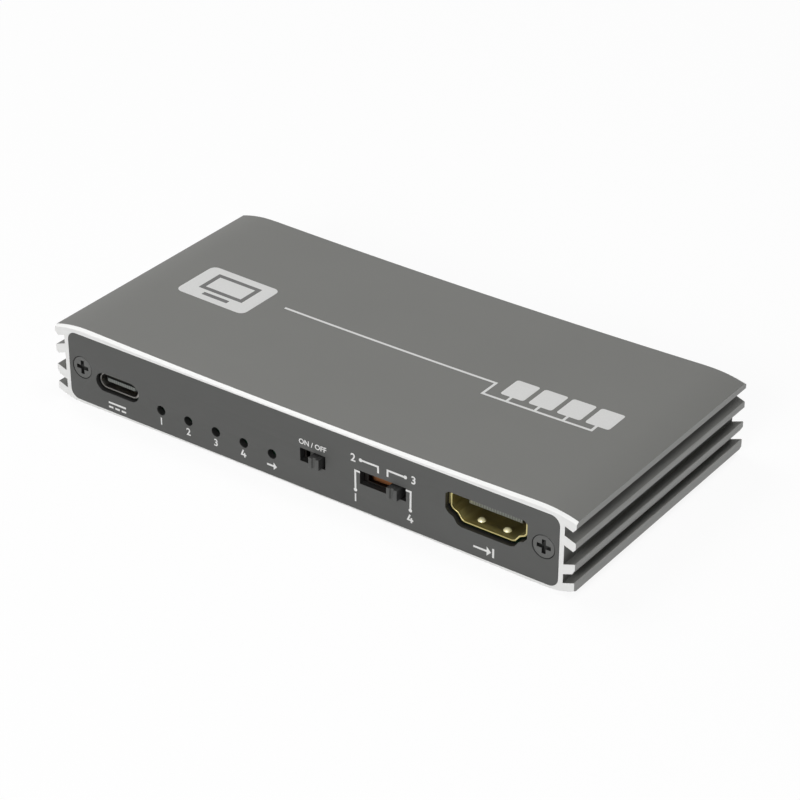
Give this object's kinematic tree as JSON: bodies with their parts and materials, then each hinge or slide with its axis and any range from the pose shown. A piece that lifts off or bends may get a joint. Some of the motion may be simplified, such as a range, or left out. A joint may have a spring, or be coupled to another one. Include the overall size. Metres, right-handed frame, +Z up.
{
  "type": "video splitter",
  "caption": "Flat finned aluminium video splitter box with sockets in both end panels, a power inlet, indicator holes and small slide switches.",
  "frame": {"origin": "under the middle of the part's box, on the plane of the two bottom lands", "axes": "+X along the connector row to the right as seen from the front, +Y from the front panel to the rear, +Z up"},
  "size_m": [0.107, 0.0542, 0.0152],
  "materials": {
    "anodised_case": "fine-blasted grey anodised, cut ends bright",
    "anodised_panel": "matte grey anodised",
    "screw_steel": "dark plated",
    "board_laminate": "solder-masked laminate",
    "gilt_shell": "gold-plated sheet",
    "black_insulator": "moulded black",
    "gilt_contact": "gold-plated",
    "nickel_shell": "nickel-plated sheet",
    "lamp_lens": "dark unlit lens",
    "tinned_sheet": "tinned sheet",
    "phenolic_base": "brown phenolic",
    "knob_plastic": "moulded black",
    "wiper_spring": "spring brass",
    "chip_epoxy": "moulded epoxy",
    "thermal_pad": "soft white tape",
    "bare_aluminium": "plain",
    "ferrite": "pressed ferrite"
  },
  "bodies": {
    "case": {"housing": "anodised_case", "front_panel": "anodised_panel", "rear_panel": "anodised_panel", "front_screws": "screw_steel", "rear_screws": "screw_steel", "main_board": "board_laminate", "video_in_shell": "gilt_shell", "video_in_insulator": "black_insulator", "video_in_contacts": "gilt_contact", "video_out_1_shell": "gilt_shell", "video_out_1_insulator": "black_insulator", "video_out_1_contacts": "gilt_contact", "video_out_2_shell": "gilt_shell", "video_out_2_insulator": "black_insulator", "video_out_2_contacts": "gilt_contact", "video_out_3_shell": "gilt_shell", "video_out_3_insulator": "black_insulator", "video_out_3_contacts": "gilt_contact", "video_out_4_shell": "gilt_shell", "video_out_4_insulator": "black_insulator", "video_out_4_contacts": "gilt_contact", "power_inlet_shell": "nickel_shell", "power_inlet_insulator": "black_insulator", "power_inlet_contacts": "gilt_contact", "indicator_1": "lamp_lens", "indicator_2": "lamp_lens", "indicator_3": "lamp_lens", "indicator_4": "lamp_lens", "indicator_5": "lamp_lens", "mode_switch_frame": "tinned_sheet", "mode_switch_pins": "tinned_sheet", "mode_switch_base": "phenolic_base", "selector_frame": "tinned_sheet", "selector_pins": "tinned_sheet", "selector_base": "phenolic_base", "splitter_chip": "chip_epoxy", "controller_chip": "chip_epoxy", "regulator_chip": "chip_epoxy", "surge_arrays": "chip_epoxy", "thermal_tape": "thermal_pad", "heat_sink": "bare_aluminium", "bulk_capacitors": "bare_aluminium", "crystal": "tinned_sheet", "power_inductor": "ferrite"},
    "mode_slider": {"mode_switch_slider": "knob_plastic", "mode_switch_wiper": "wiper_spring"},
    "selector_slider": {"selector_slider": "knob_plastic", "selector_wiper": "wiper_spring"}
  },
  "joints": [
    {"name": "mode_slide", "type": "slide", "parent": "case", "child": "mode_slider", "axis": [1, 0, 0], "range_m": [-0.0022, 0]},
    {"name": "selector_slide", "type": "slide", "parent": "case", "child": "selector_slider", "axis": [1, 0, 0], "range_m": [-0.00525, 0]}
  ]
}
